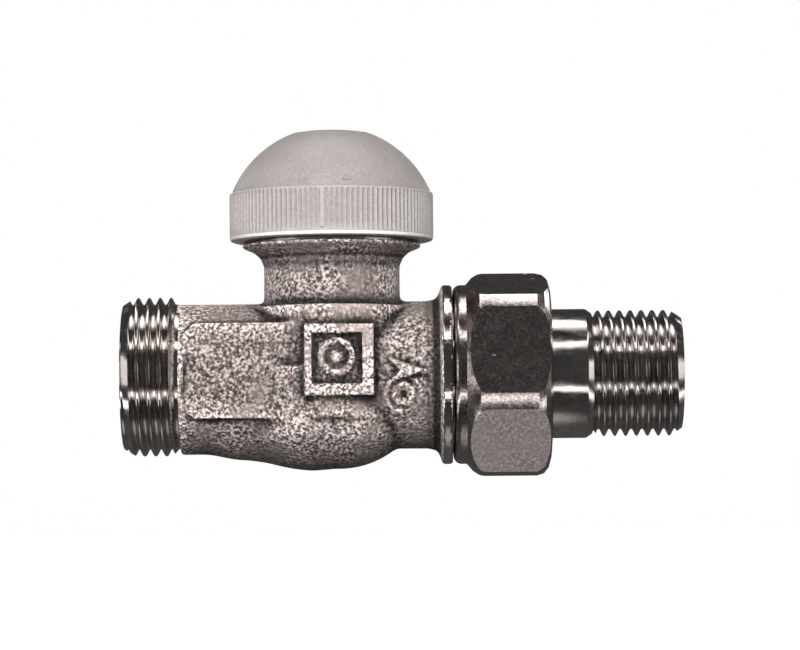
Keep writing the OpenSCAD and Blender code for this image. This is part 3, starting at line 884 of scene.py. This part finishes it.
def cap_plastic():
    m = Material("cap_plastic", Roughness=0.5)
    # The darker groove tone is painted shade in the flute grooves.
    rib_tone, groove_shade_tone, lip_highlight_tone = (0.325, 0.300, 0.288), (0.25, 0.229, 0.22), (0.74, 0.70, 0.68)
    dome_foot, lip_top = CAP_LOW.z + 7.92, CAP_LOW.z + 0.6
    fine = m.noise(0.5, 2, 0.6)
    cloud = m.noise(6.0, 3, 0.5)
    # The dome is painted darker than the ring's ribs: painted shade on the same plastic, varied at random by
    # the cloud.
    dome = m.mix(m.ramp(cloud, [(0.3, 0.0), (0.7, 1.0)]), (0.225, 0.203, 0.194), (0.25, 0.226, 0.217))
    groove_shade_mask = m.ramp(m.attribute("flute"), [(0.0, 0.0), (0.9, 1.0)])
    ring = m.mix(groove_shade_mask, rib_tone, groove_shade_tone)
    split = m.tree.nodes.new("ShaderNodeSeparateXYZ")
    m.link(m.place, split.inputs["Vector"])
    dome_shade_mask = m.math("GREATER_THAN", split.outputs["Z"], dome_foot * MM)
    # Below lip_top the light lip tone is a painted highlight on the ring's bottom chamfer.
    lip_highlight_mask = m.math("LESS_THAN", split.outputs["Z"], lip_top * MM)
    speckle = m.ramp(fine, [(0.3, 0.86), (0.7, 1.12)])
    shell = m.mix(lip_highlight_mask, m.mix(dome_shade_mask, ring, dome), lip_highlight_tone)
    m.colour(m.mix(1.0, shell, speckle, "MULTIPLY"))
    m.roughness(m.ramp(fine, [(0.3, 0.44), (0.7, 0.60)]))
    m.bump([(fine, 0.03)])
    return m.material


def turned_brass():
    m = Material("turned_brass", Metallic=1.0, Roughness=0.28)
    rings = m.noise(0.2, 2, 0.5, m.stretched(0.03, 0.03, 1))
    stain = m.noise(2.5, 4, 0.6)
    m.colour(m.mix(m.ramp(stain, [(0.35, 0.0), (0.7, 1.0)]), (0.78, 0.58, 0.28), (0.55, 0.38, 0.17)))
    m.roughness(m.ramp(stain, [(0.3, 0.22), (0.7, 0.42)]))
    m.bump([(rings, 0.01)])
    return m.material


def ground_steel():
    m = Material("ground_steel", Metallic=1.0, Roughness=0.22)
    rings = m.noise(0.12, 2, 0.5, m.stretched(0.05, 0.05, 1))
    haze = m.noise(1.5, 3, 0.5)
    m.colour(m.ramp(haze, [(0.3, (0.50, 0.50, 0.51)), (0.7, (0.68, 0.68, 0.69))]))
    m.roughness(m.ramp(haze, [(0.3, 0.16), (0.7, 0.34)]))
    m.bump([(rings, 0.006)])
    return m.material


def seal_rubber():
    m = Material("seal_rubber", Roughness=0.6)
    bloom = m.noise(0.6, 3, 0.6)
    m.colour(m.ramp(bloom, [(0.35, (0.018, 0.018, 0.02)), (0.75, (0.05, 0.05, 0.052))]))
    m.roughness(m.ramp(bloom, [(0.3, 0.5), (0.7, 0.72)]))
    m.bump([(bloom, 0.015)])
    return m.material


def bush_plastic():
    m = Material("bush_plastic", Roughness=0.45)
    haze = m.noise(1.2, 3, 0.5)
    m.colour(m.ramp(haze, [(0.3, (0.78, 0.77, 0.72)), (0.7, (0.86, 0.85, 0.81))]))
    m.roughness(m.ramp(haze, [(0.3, 0.38), (0.7, 0.52)]))
    m.bump([(haze, 0.01)])
    return m.material


def floor_material():
    m = Material("studio_floor", Roughness=0.9, Emission_Color=(1, 1, 1, 1), Emission_Strength=0.75)
    haze = m.noise(120, 2, 0.5)
    m.colour(m.ramp(haze, [(0.3, 0.90), (0.7, 0.93)]))
    return m.material


def dress_frame_nodes(brass, steel, rubber, bush):
    """Gives the pieces inside the valve, whose shapes come from the frame, their materials."""
    choice = {"turned_brass": brass, "stem_steel": steel, "seal_rubber": rubber, "bush_plastic": bush}
    slots = {part["node"]: part["material_slot"] for part in frame["record"]["subparts"]}
    for name, piece in frame["nodes"].items():
        if slots[name] in choice:
            piece.data.materials.clear()
            piece.data.materials.append(choice[slots[name]])


# ---- studio -----------------------------------------------------------------------------------

def studio_floor():
    size, height = 3000, BODY_LOW.z - 30
    n = 12
    grid = np.linspace(-size, size, n)
    verts = [(x, y, height) for x in grid for y in grid]
    faces = [(i * n + j, (i + 1) * n + j, (i + 1) * n + j + 1, i * n + j + 1)
             for i in range(n - 1) for j in range(n - 1)]
    floor = mesh_piece("studio_floor", verts, faces)
    floor.data.materials.append(floor_material())
    floor.visible_glossy = floor.visible_diffuse = False


def area_light(name, place_mm, aim_mm, size_mm, power, glossy=True, diffuse=True):
    data = bpy.data.lights.new(name, "AREA")
    data.shape = "RECTANGLE"
    data.size, data.size_y = size_mm[0] * MM, size_mm[1] * MM
    data.energy = power
    light = bpy.data.objects.new(name, data)
    light.location = Vector(place_mm) * MM
    light.visible_glossy = glossy
    light.visible_diffuse = diffuse
    light.rotation_euler = (Vector(aim_mm) - Vector(place_mm)).to_track_quat("-Z", "Y").to_euler()
    bpy.context.scene.collection.objects.link(light)


def elevation_ramp(tree, source, bands):
    """Brightness by elevation in degrees."""
    ramp = tree.nodes.new("ShaderNodeValToRGB")
    elements = ramp.color_ramp.elements
    while len(elements) < len(bands):
        elements.new(0.5)
    for element, (degrees, value) in zip(elements, bands):
        element.position = (1 + math.sin(math.radians(degrees))) / 2
        element.color = (value, value * 0.98, value * 0.97, 1)
    tree.links.new(source, ramp.inputs["Fac"])
    return ramp.outputs["Color"]


def mix_colour(tree, fac, a, b):
    mix = tree.nodes.new("ShaderNodeMix")
    mix.data_type = "RGBA"
    for socket, value in ((mix.inputs[0], fac), (mix.inputs[6], a), (mix.inputs[7], b)):
        if isinstance(value, tuple):
            socket.default_value = value
        else:
            tree.links.new(value, socket)
    return mix.outputs[2]


def map_range(tree, source, low, high):
    node = tree.nodes.new("ShaderNodeMapRange")
    node.inputs["From Min"].default_value = low
    node.inputs["From Max"].default_value = high
    tree.links.new(source, node.inputs["Value"])
    return node.outputs["Result"]


def studio_world():
    """Dark round about with bright strips above and below, so that polished metal shows bands."""
    world = bpy.data.worlds.new("studio")
    bpy.context.scene.world = world
    world.use_nodes = True
    tree = world.node_tree
    split = tree.nodes.new("ShaderNodeSeparateXYZ")
    tree.links.new(tree.nodes.new("ShaderNodeTexCoord").outputs["Generated"], split.inputs["Vector"])
    rise = map_range(tree, split.outputs["Z"], -1, 1)
    front = elevation_ramp(tree, rise, [
        (-90, 0.50), (-78, 0.42), (-71, 0.07), (-33, 0.03), (-31, 2.8), (-26, 2.8), (-24, 0.06), (44, 0.06),
        (46, 3.0), (53, 3.0), (55, 0.03), (82, 0.05), (85, 2.8), (90, 2.8)
    ])
    back = elevation_ramp(tree, rise, [
        (-90, 0.50), (-79, 0.36), (-70, 0.10), (-20, 0.08), (0, 0.07), (45, 0.05), (65, 0.08),
        (69, 2.0), (90, 2.8)
    ])
    around = mix_colour(tree, map_range(tree, split.outputs["Y"], -0.15, 0.15), front, back)
    ray = tree.nodes.new("ShaderNodeLightPath")
    soft = mix_colour(tree, ray.outputs["Is Diffuse Ray"], around, (0.13, 0.13, 0.13, 1))
    seen = mix_colour(tree, ray.outputs["Is Camera Ray"], soft, (1, 1, 1, 1))
    tree.links.new(seen, tree.nodes["Background"].inputs["Color"])


def camera():
    """View of the front from arm's length, from a little below the pipe axis."""
    distance, eye_z, aim = 600, -22, Vector((46.0, 0, 8.35))
    sensor_width, frame_width, roll_deg = 36, 133.3, -0.5
    data = bpy.data.cameras.new("camera")
    data.sensor_width = sensor_width
    data.lens = sensor_width * distance / frame_width
    data.clip_start, data.clip_end = 0.01, 20
    eye = Vector((aim.x, -distance, eye_z))
    view = (aim - eye).to_track_quat("-Z", "Y").to_matrix().to_4x4()
    roll = Matrix.Rotation(math.radians(roll_deg), 4, "Z")
    camera_object = bpy.data.objects.new("camera", data)
    camera_object.matrix_world = Matrix.Translation(eye * MM) @ view @ roll
    bpy.context.scene.collection.objects.link(camera_object)
    bpy.context.scene.camera = camera_object


def lights():
    middle = (45, 0, 5)
    area_light("top", (40, 40, 430), middle, (520, 90), 0.15)
    area_light("left_side", (-430, -120, 30), middle, (420, 200), 0.30, diffuse=False)
    area_light("right_side", (520, -120, 30), middle, (420, 200), 0.30, diffuse=False)
    area_light("front_soft", (0, -580, 200), middle, (420, 260), 8.1, glossy=False)
    area_light("back_soft", (60, 560, 230), middle, (420, 260), 7.0, glossy=False)
    area_light("back_left", (-330, 430, 150), middle, (180, 320), 0.6)
    area_light("back_right", (450, 430, 150), middle, (180, 320), 0.6)


def main():
    bpy.context.scene.view_settings.view_transform = "Standard"
    camera()
    cast, machined = cast_nickel(), machined_nickel()
    bright = machined_nickel("bright_nickel", (0.10, 0.24), (0.70, 0.66, 0.64))
    steel = ground_steel()
    valve_body(cast, machined)
    union_nut(nut_nickel())
    tailpiece(bright)
    screw_cap(cap_plastic())
    return_spring(steel)
    dress_frame_nodes(turned_brass(), steel, seal_rubber(), bush_plastic())
    studio_floor()
    studio_world()
    lights()


main()
